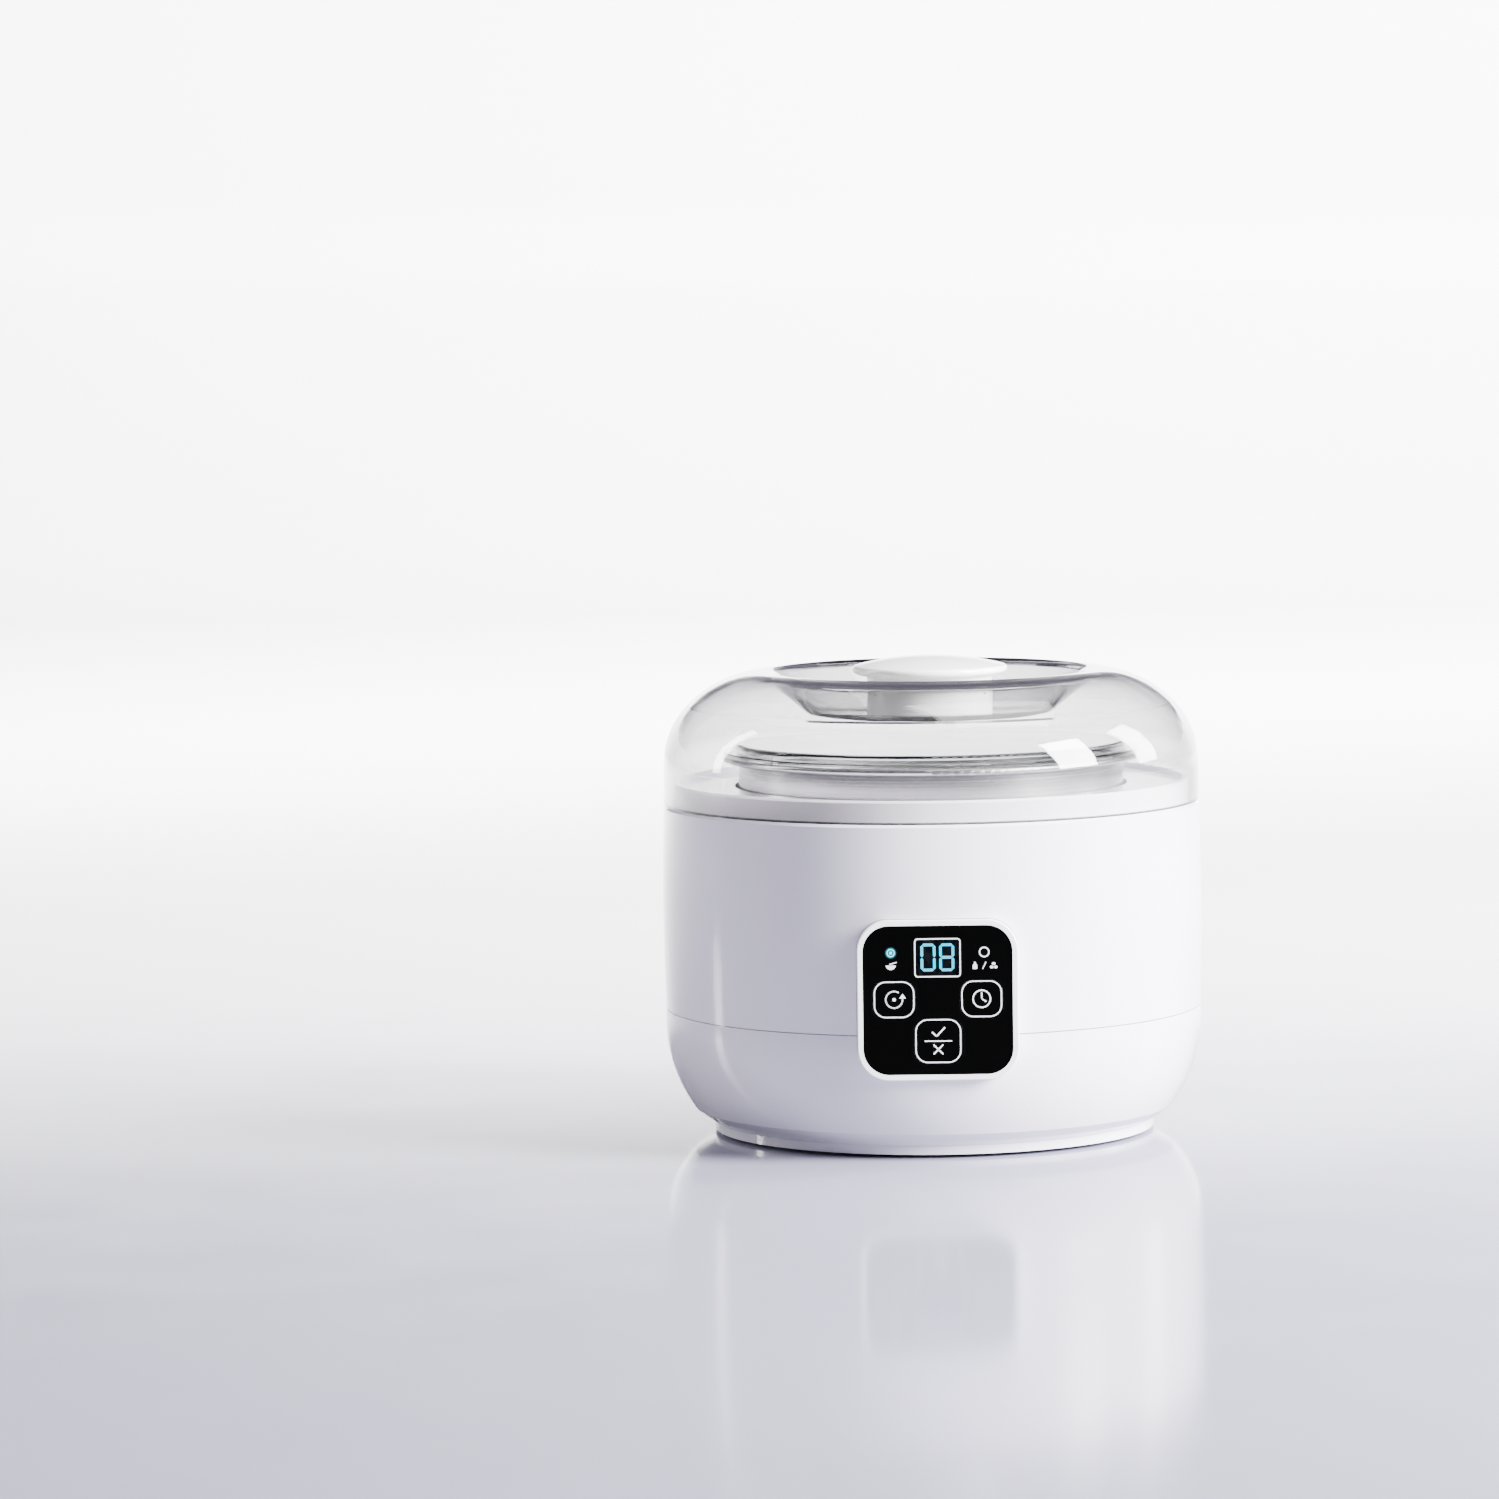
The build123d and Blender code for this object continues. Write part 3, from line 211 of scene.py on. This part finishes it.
ABSORBED = (0.5, 0.5, 0.51)
# Painted shade: a dark band on the outer lid's lower edge, standing in for the shadow in the gap under
# it and the dark look of its cut edge.
RIM_PAINTED_SHADE_HEIGHT = 0.9 * MM       # of the painted shade along the lower edge
RIM_PAINTED_SHADE = (0.12, 0.115, 0.12)


def let_lamps_through(m, colour):
    """Lamp light reaches what is behind a clear wall; colour is what each of its surfaces passes on."""
    path = m.add("ShaderNodeLightPath")
    through = m.add("ShaderNodeBsdfTransparent")
    through.inputs["Color"].default_value = (*colour, 1)
    mix = m.add("ShaderNodeMixShader")
    m.link(path.outputs["Is Shadow Ray"], mix.inputs["Fac"])
    m.link(m.shader.outputs["BSDF"], mix.inputs[1])
    m.link(through.outputs["BSDF"], mix.inputs[2])
    m.link(mix.outputs["Shader"], m.tree.nodes["Material Output"].inputs["Surface"])


def absorb(m, density):
    """Grey inside the wall, which shows where the wall is seen on edge."""
    inside = m.add("ShaderNodeVolumeAbsorption")
    inside.inputs["Color"].default_value = (*ABSORBED, 1)
    inside.inputs["Density"].default_value = density
    m.link(inside.outputs["Volume"], m.tree.nodes["Material Output"].inputs["Volume"])


def paint_rim_shade(m, shade, rim):
    """Painted shade along the lower edge, standing in for the shadow in the gap under the wall and the
    dark look of a cut edge of clear plastic; rim is its height.
    """
    _, height, _ = m.polar()
    above = m.math("DIVIDE", m.math("SUBTRACT", height, rim), RIM_PAINTED_SHADE_HEIGHT)
    return m.multiplied(shade, m.ramp(above, RIM_PAINTED_SHADE, (1, 1, 1), 0.6, 1.0))


def clear_plastic(name, colour, roughness=0.015, ior=1.49, lamps=0.97, density=0, rim=None):
    """Clear moulding with slow flow waves and a few fine wiping marks."""
    m = Nodes(name)
    let_lamps_through(m, tint(colour, lamps))
    if density:
        absorb(m, density)
    m.set(Transmission_Weight=1.0, IOR=ior)
    shade = m.ramp(m.noise(12, 2), tint(colour, 0.97), colour)
    # Painted shade: darkens the colour along the lower edge when rim is given.
    if rim is not None:
        shade = paint_rim_shade(m, shade, rim)
    m.colour(shade)
    m.rough(m.span(m.noise(90, 4, stretch=(1, 1, 0.3)), roughness * 0.5, roughness * 2))
    m.bump(m.noise(28, 1), 0.03, 0.001)
    return m.material


def lit(name, colour, strength):
    """Surface that glows, with a faint grain."""
    m = Nodes(name)
    shade = m.ramp(m.noise(500, 2), tint(colour, 0.8), colour)
    m.colour(shade)
    m.link(shade, m.shader.inputs["Emission Color"])
    m.set(Emission_Strength=strength, Roughness=0.4)
    return m.material


# ---- materials: metals and electronics ----

def turned_steel(name, colour, roughness=0.22, rings=5200):
    """Stainless steel with fine turning marks round the Z axis."""
    m = Nodes(name)
    radius, height, _ = m.polar()
    m.set(Metallic=1.0)
    line = m.add("ShaderNodeCombineXYZ")
    m.link(m.math("MULTIPLY", radius, rings), line.inputs["X"])
    m.link(m.math("MULTIPLY", height, rings), line.inputs["Y"])
    marks = m.add("ShaderNodeTexNoise")
    marks.inputs["Scale"].default_value = 1.0
    marks.inputs["Detail"].default_value = 2.0
    m.link(line.outputs["Vector"], marks.inputs["Vector"])
    m.colour(m.ramp(marks.outputs["Fac"], tint(colour, 0.82), colour))
    m.rough(m.span(marks.outputs["Fac"], roughness - 0.06, roughness + 0.1))
    m.bump(marks.outputs["Fac"], 0.12, 0.0001)
    return m.material


def plain_metal(name, colour, roughness=0.35):
    """Bright metal, slightly tarnished in patches."""
    m = Nodes(name)
    m.set(Metallic=1.0)
    m.colour(m.ramp(m.noise(150, 4), tint(colour, 0.8), colour))
    m.rough(m.span(m.noise(400, 4), roughness - 0.1, roughness + 0.12))
    m.bump(m.noise(1100, 3), 0.15, 0.0001)
    return m.material


def circuit_board(name, colour):
    """Solder mask with the relief of its copper tracks."""
    m = Nodes(name)
    cells = m.add("ShaderNodeTexVoronoi", distance="MANHATTAN", feature="F1")
    cells.inputs["Scale"].default_value = 260
    m.link(m.place, cells.inputs["Vector"])
    tracks = m.span(cells.outputs["Distance"], 0.0, 1.0)
    m.colour(m.ramp(tracks, tint(colour, 1.7), colour, 0.25, 0.32))
    m.rough(m.span(m.noise(200, 3), 0.25, 0.42))
    m.bump(tracks, 0.2, 0.0001)
    return m.material


def laminated(name, colour):
    """Stack of thin plates, seen as fine lines."""
    m = Nodes(name)
    m.set(Metallic=0.7)
    wave = m.add("ShaderNodeTexWave", bands_direction="Y")
    wave.inputs["Scale"].default_value = 620
    wave.inputs["Distortion"].default_value = 0.3
    m.link(m.place, wave.inputs["Vector"])
    m.colour(m.ramp(wave.outputs["Fac"], tint(colour, 0.55), colour))
    m.rough(m.span(m.noise(300, 3), 0.4, 0.6))
    m.bump(wave.outputs["Fac"], 0.3, 0.0001)
    return m.material


def wrapped(name, colour, scale=330):
    """Tape or film wound round a part, with its overlapping edges."""
    m = Nodes(name)
    wave = m.add("ShaderNodeTexWave", bands_direction="Z", wave_profile="SAW")
    wave.inputs["Scale"].default_value = scale
    m.link(m.place, wave.inputs["Vector"])
    m.colour(m.ramp(wave.outputs["Fac"], tint(colour, 0.8), colour, 0.05, 0.5))
    m.rough(m.span(m.noise(180, 3), 0.2, 0.4))
    m.bump(wave.outputs["Fac"], 0.2, 0.0001)
    return m.material


def dome_plastic(name):
    """The outer lid: greyer than the inner one, with painted shade along its lower edge.

    lamps makes up for the lamp light that its inside absorbs.
    """
    low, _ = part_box("outer_lid")
    return clear_plastic(name, (0.82, 0.818, 0.815), lamps=1.29, density=115, rim=low.z)


MAKERS = {                  # one for each material slot of the record
    "white_shell": lambda n: gloss_plastic(n, (0.80, 0.765, 0.845), 0.13, 0.6),
    "white_bezel": lambda n: gloss_plastic(n, (0.93, 0.93, 0.94), 0.2, 0.3),
    "white_knob": lambda n: gloss_plastic(n, (0.9, 0.9, 0.9), 0.22, 0.3),
    "inner_plastic": lambda n: matte_plastic(n, (0.78, 0.78, 0.77)),
    "foot_rubber": lambda n: rubber(n, (0.03, 0.03, 0.03)),
    "screw_steel": lambda n: plain_metal(n, (0.6, 0.6, 0.62)),
    "steel_parts": lambda n: plain_metal(n, (0.7, 0.7, 0.7)),
    "well_aluminium": lambda n: turned_steel(n, (0.8, 0.8, 0.81), 0.38, 2400),
    "heater_film": lambda n: wrapped(n, (0.62, 0.27, 0.06), 120),
    "sensor_brass": lambda n: plain_metal(n, (0.78, 0.6, 0.28)),
    "pot_steel": lambda n: turned_steel(n, (0.6, 0.6, 0.6)),
    "clear_lid": lambda n: clear_plastic(n, (0.86, 0.862, 0.865), lamps=1.1),
    "clear_dome": dome_plastic,
    "silicone": lambda n: rubber(n, (0.82, 0.82, 0.82), 0.45),
    "black_overlay": lambda n: gloss_plastic(n, (0.0008, 0.0008, 0.0008), 0.1, 0.0, 0.015),
    "smoked_lens": lambda n: clear_plastic(n, (0.7, 0.72, 0.76), 0.001, 1.02, 0.02),
    "black_plastic": lambda n: matte_plastic(n, (0.01, 0.01, 0.011), specular=0.1),
    "digit_light": lambda n: lit(n, (0.02, 0.72, 0.9), 2.0),
    "light_on": lambda n: lit(n, (0.0, 0.05, 0.07), 0.05),
    "light_off": lambda n: gloss_plastic(n, (0.001, 0.001, 0.001), 0.1, 0.0, 0.02),
    "led_body": lambda n: gloss_plastic(n, (0.8, 0.85, 0.85), 0.1),
    "green_board": lambda n: circuit_board(n, (0.02, 0.13, 0.05)),
    "cream_plastic": lambda n: matte_plastic(n, (0.75, 0.7, 0.58)),
    "core_iron": lambda n: laminated(n, (0.3, 0.3, 0.31)),
    "coil_tape": lambda n: wrapped(n, (0.8, 0.6, 0.08), 420),
    "relay_blue": lambda n: gloss_plastic(n, (0.03, 0.1, 0.36), 0.3, 0.1),
    "capacitor_sleeve": lambda n: wrapped(n, (0.03, 0.03, 0.06), 60),
    "fuse_glass": lambda n: clear_plastic(n, (0.9, 0.93, 0.92)),
    "terminal_green": lambda n: matte_plastic(n, (0.06, 0.36, 0.12)),
    "pin_brass": lambda n: plain_metal(n, (0.78, 0.74, 0.62), 0.25),
    "lead_blue": lambda n: rubber(n, (0.03, 0.1, 0.5), 0.45),
    "lead_red": lambda n: rubber(n, (0.5, 0.02, 0.02), 0.45),
    "lead_grey": lambda n: rubber(n, (0.5, 0.5, 0.52), 0.45),
}


def dress_nodes():
    """Gives each CAD node the material of its slot."""
    made = {}
    for part in RECORD["subparts"]:
        name = part["material_slot"]
        if name not in made:
            made[name] = MAKERS[name](name)
        mesh = NODES[part["node"]].data
        mesh.materials.clear()
        mesh.materials.append(made[name])


# ---- printed marks on the panel ----

PRINT_T = 0.04 * MM         # thickness of the ink
WHITE_INK = (0.82, 0.83, 0.84)
LIT_INK = (0.02, 0.7, 0.85)

# in millimetres on the panel
OUTLINE_INSET = 0.6         # an outline is this much smaller than its key or window
KEY_STROKE = 0.4
WINDOW_STROKE = 0.42
WINDOW_CORNER = 1.2
LABEL_DROP = 4.6            # from a light down to its label


def ink_material(name, colour, glow=0.0):
    """Screen-printed ink: slightly uneven edge to edge, satin."""
    m = Nodes(name)
    shade = m.ramp(m.noise(900, 3), tint(colour, 0.9), colour)
    m.colour(shade)
    m.rough(m.span(m.noise(1500, 2), 0.3, 0.45))
    if glow:
        m.link(shade, m.shader.inputs["Emission Color"])
        m.set(Emission_Strength=glow)
    return m.material


def rounded_outline(width, height, corner, steps=8):
    """Points of a rounded rectangle about (0, 0), anticlockwise."""
    points = []
    for quarter, (sx, sz) in enumerate(((1, 1), (-1, 1), (-1, -1), (1, -1))):
        for step in range(steps + 1):
            angle = radians(90 * quarter + 90 * step / steps)
            x = sx * (width / 2 - corner) + corner * cos(angle)
            z = sz * (height / 2 - corner) + corner * sin(angle)
            points.append((x, z))
    return points


def circle_outline(radius, steps=32):
    return [(radius * cos(2 * pi * i / steps), radius * sin(2 * pi * i / steps)) for i in range(steps)]


class Print:
    """Collects flat ink shapes and turns them into one thin closed mesh on the panel."""

    def __init__(self, name, body, slot, material, surface):
        self.name, self.body, self.slot = name, body, slot
        self.material = material
        self.surface = surface
        self.bm = bmesh.new()

    def face(self, outline, x=0.0, z=0.0):
        """Filled outline, in millimetres from (x, z) of the surface."""
        front = [self.bm.verts.new(self.spot(x + px, z + pz, 1)) for px, pz in outline]
        back = [self.bm.verts.new(self.spot(x + px, z + pz, 0)) for px, pz in outline]
        self.bm.faces.new(front)
        self.bm.faces.new(list(reversed(back)))
        for i in range(len(outline)):
            j = (i + 1) % len(outline)
            self.bm.faces.new((front[j], front[i], back[i], back[j]))

    def band(self, outer, inner, x=0.0, z=0.0):
        """Closed ring between two outlines with the same number of points."""
        rings = []
        for outline in (outer, inner):
            for level in (1, 0):
                rings.append([self.bm.verts.new(self.spot(x + px, z + pz, level)) for px, pz in outline])
        outer_front, outer_back, inner_front, inner_back = rings
        count = len(outer)
        for i in range(count):
            j = (i + 1) % count
            self.bm.faces.new((outer_front[i], outer_front[j], inner_front[j], inner_front[i]))
            self.bm.faces.new((inner_back[i], inner_back[j], outer_back[j], outer_back[i]))
            self.bm.faces.new((outer_back[i], outer_back[j], outer_front[j], outer_front[i]))
            self.bm.faces.new((inner_front[i], inner_front[j], inner_back[j], inner_back[i]))

    def stroke(self, points, width, x=0.0, z=0.0):
        """Straight strokes with round ends through the points."""
        for (ax, az), (bx, bz) in zip(points, points[1:]):
            along = Vector((bx - ax, bz - az)).normalized()
            side = Vector((-along.y, along.x)) * width / 2
            outline = []
            for (cx, cz), start in (((bx, bz), -90), ((ax, az), 90)):
                for step in range(7):
                    angle = radians(start + 30 * step)
                    outline.append((cx + along.x * width / 2 * cos(angle) + side.x * sin(angle),
                                    cz + along.y * width / 2 * cos(angle) + side.y * sin(angle)))
            self.face(outline, x, z)

    def spot(self, x, z, level):
        origin, out = self.surface
        return Vector((origin.x + x * MM, origin.y + out * PRINT_T * level, origin.z + z * MM))

    def finish(self):
        bmesh.ops.recalc_face_normals(self.bm, faces=self.bm.faces)
        mesh = bpy.data.meshes.new(self.name)
        self.bm.to_mesh(mesh)
        self.bm.free()
        mesh.materials.append(self.material)
        piece = bpy.data.objects.new(self.name, mesh)
        bpy.context.scene.collection.objects.link(piece)
        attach(piece, self.body)
        return piece


def front_of(node):
    """Centre of a panel node's front face, and the outward direction along Y."""
    low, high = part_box(node)
    return Vector(((low.x + high.x) / 2, low.y, (low.z + high.z) / 2)), -1


def size_of(node):
    low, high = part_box(node)
    return (high.x - low.x) / MM, (high.z - low.z) / MM


def outline_band(ink, width, height, corner, stroke, x=0.0, z=0.0):
    ink.band(rounded_outline(width, height, corner),
             rounded_outline(width - 2 * stroke, height - 2 * stroke, corner - stroke), x, z)


def ring(ink, radius, stroke, x=0.0, z=0.0):
    ink.band(circle_outline(radius), circle_outline(radius - stroke), x, z)


def function_icon(ink):
    """Round arrow: step through the programmes."""
    radius, stroke = 2.9, 0.46
    head, root, tip = 1.2, 0.4, 2.0
    dot = 0.6
    arc = [(radius * cos(radians(a)), radius * sin(radians(a))) for a in range(60, 361, 20)]
    ink.stroke(arc, stroke)
    ink.face([(radius - head, root), (radius + head, root), (radius, tip)])
    ink.face(circle_outline(dot, 16))


def time_icon(ink):
    """Clock face with two hands."""
    radius, stroke = 3.2, 0.45
    minute, hour = (0, 2.0), (1.4, -0.9)
    ring(ink, radius, stroke)
    ink.stroke([minute, (0, 0), hour], stroke)


def confirm_icon(ink):
    """Tick over a cross, with a line between them."""
    line, stroke = 4.5, 0.48
    cross, top, bottom = 1.5, -1.4, -4.4
    ink.stroke([(-line, 0), (line, 0)], KEY_STROKE)
    ink.stroke([(-2.0, 3.0), (-0.6, 1.6), (2.2, 4.6)], stroke)
    ink.stroke([(-cross, top), (cross, bottom)], stroke)
    ink.stroke([(-cross, bottom), (cross, top)], stroke)


KEYS = {                    # icon and corner radius of the outline
    "function": (function_icon, 4.1),
    "time": (time_icon, 4.1),
    "confirm": (confirm_icon, 4.3),
}


def print_keys(white):
    for key, (icon, corner) in KEYS.items():
        node = key + "_key"
        ink = Print(key + "_key_print", key + "_button", "black_overlay", white, front_of(node))
        width, height = size_of(node)
        outline_band(ink, width - OUTLINE_INSET, height - OUTLINE_INSET, corner, KEY_STROKE)
        icon(ink)
        ink.finish()


def print_overlay(white):
    """Ink on the fixed sheet: frame of the window, the ring of the unlit light and two small labels."""
    centre, out = front_of("panel_overlay")
    window, _ = front_of("display_lens")
    ink = Print("overlay_print", "housing", "black_overlay", white, (centre, out))
    width, height = size_of("display_lens")
    outline_band(ink, width - OUTLINE_INSET, height - OUTLINE_INSET, WINDOW_CORNER, WINDOW_STROKE,
                 (window.x - centre.x) / MM, (window.z - centre.z) / MM)
    right, _ = front_of("right_light_pipe")
    left, _ = front_of("left_light_pipe")
    light_z = (right.z - centre.z) / MM
    ring(ink, 1.8, KEY_STROKE, (right.x - centre.x) / MM, light_z)
    label_z = light_z - LABEL_DROP
    label_bowl(ink, (left.x - centre.x) / MM, label_z)
    label_pair(ink, (right.x - centre.x) / MM, label_z)
    ink.finish()


def oval(half_width, half_height, angles):
    return [(half_width * cos(radians(a)), half_height * sin(radians(a))) for a in angles]


def label_bowl(ink, x, z):
    """Small bowl with a spoon over it."""
    ink.face(oval(1.7, 1.5, range(180, 361, 15)), x, z + 0.3)
    ink.stroke([(-0.3, 0.75), (1.9, 1.35)], 0.35, x, z)


def label_pair(ink, x, z):
    """Bottle and three beans with a slash between them."""
    ink.face([(-0.75, -1.2), (0.75, -1.2), (0.75, 0.2), (0.3, 0.6), (0.3, 1.2), (-0.3, 1.2),
              (-0.3, 0.6), (-0.75, 0.2)], x - 3.2, z)
    ink.stroke([(-0.5, -1.1), (0.5, 1.1)], 0.3, x, z)
    for bean_x, bean_z in ((2.5, -0.6), (3.9, -0.6), (3.2, 0.6)):
        ink.face(oval(0.62, 0.48, range(0, 360, 24)), x + bean_x, z + bean_z)


def print_lit_ring(glow):
    """Glowing ring and dot of the lit light."""
    ink = Print("left_light_glow", "housing", "light_on", glow, front_of("left_light_pipe"))
    ring(ink, 1.38, 0.3)
    ink.face(circle_outline(0.5, 20))
    ink.finish()


def print_panel():
    white = ink_material("white_ink", WHITE_INK)
    print_keys(white)
    print_overlay(white)
    print_lit_ring(ink_material("cyan_ink", LIT_INK, 1.3))


# ---- floor, backdrop and lights ----

FLOOR_FRONT = -4.0
FLOOR_REACH = 6.0           # to either side
WALL_Y = 3.2
WALL_HEIGHT = 0.62
WALL_BEND = 0.35            # radius between the worktop and the wall
# Painted light and shade: the worktop is dark near the front and pale towards the backdrop, standing in
# for how the light falls across it.
SHADED_NEAR_COLOUR = (0.27, 0.27, 0.345)
LIT_FAR_COLOUR = (0.86, 0.86, 0.88)

SKY_COLOUR = (0.82, 0.77, 1.0)
SKY_STRENGTH = 0.27
AIM = (0, 0, 0.09)          # middle of the body


def make_sheet(name, profile, reach, material):
    """Wide smooth sheet along X that follows a profile of (y, z) points."""
    mesh = bpy.data.meshes.new(name)
    points = [(side * reach, y, z) for y, z in profile for side in (-1, 1)]
    faces = [(2 * i, 2 * i + 1, 2 * i + 3, 2 * i + 2) for i in range(len(profile) - 1)]
    mesh.from_pydata(points, [], faces)
    for polygon in mesh.polygons:
        polygon.use_smooth = True
    mesh.materials.append(material)
    sheet = bpy.data.objects.new(name, mesh)
    bpy.context.scene.collection.objects.link(sheet)


def make_stage():
    """Pale polished worktop that curves up into a low plain backdrop, with painted shade that darkens it
    towards the front.
    """
    bend_y = WALL_Y - WALL_BEND
    profile = [(FLOOR_FRONT, 0.0), (bend_y, 0.0)]
    profile += [(bend_y + WALL_BEND * sin(radians(a)), WALL_BEND - WALL_BEND * cos(radians(a)))
                for a in range(10, 91, 10)]
    profile.append((WALL_Y, WALL_HEIGHT))
    m = Nodes("worktop")
    m.set(IOR=1.22)
    place = m.add("ShaderNodeSeparateXYZ")
    m.link(m.place, place.inputs["Vector"])
    # Painted light and shade: darker near the front, paler further back, with a little noise in where
    # the change falls.
    painted_light_and_noise = m.math("ADD", place.outputs["Y"], m.math("MULTIPLY", m.noise(3, 2), 0.1))
    m.colour(m.ramp(painted_light_and_noise, SHADED_NEAR_COLOUR, LIT_FAR_COLOUR, 0.2, 0.75))
    m.rough(m.span(m.noise(20, 3), 0.08, 0.14))
    m.bump(m.noise(60, 2), 0.02, 0.0005)
    make_sheet("worktop", profile, FLOOR_REACH, m.material)


def make_softbox(name, place, target, size, watts, colour=(1, 1, 1)):
    """Rectangular lamp at place, turned to target; size is its width and height."""
    data = bpy.data.lights.new(name, "AREA")
    data.shape = "RECTANGLE"
    data.size, data.size_y = size
    data.energy = watts
    data.color = colour
    lamp = bpy.data.objects.new(name, data)
    bpy.context.scene.collection.objects.link(lamp)
    lamp.location = place
    lamp.rotation_euler = (Vector(target) - Vector(place)).to_track_quat("-Z", "Y").to_euler()


def make_sky():
    world = bpy.data.worlds.new("studio")
    bpy.context.scene.world = world
    world.use_nodes = True
    sky = world.node_tree.nodes["Background"]
    sky.inputs["Color"].default_value = (*SKY_COLOUR, 1)
    sky.inputs["Strength"].default_value = SKY_STRENGTH


def make_lights():
    make_softbox("key_right", (1.25, -0.6, 0.74), AIM, (0.5, 0.8), 240)
    make_softbox("fill_left", (-1.3, 0.3, 0.6), AIM, (0.12, 1.0), 15, (0.98, 0.96, 0.97))
    make_softbox("rim_right", (1.3, 0.32, 0.62), AIM, (0.34, 0.8), 60)
    make_softbox("top", (0.5, 0.2, 2.0), AIM, (1.2, 1.0), 32)
    make_softbox("backdrop", (0.3, 1.7, 1.0), (0, 2.8, 0.1), (3.0, 0.5), 340)


make_camera()
make_stage()
make_sky()
make_lights()
dress_nodes()
print_panel()
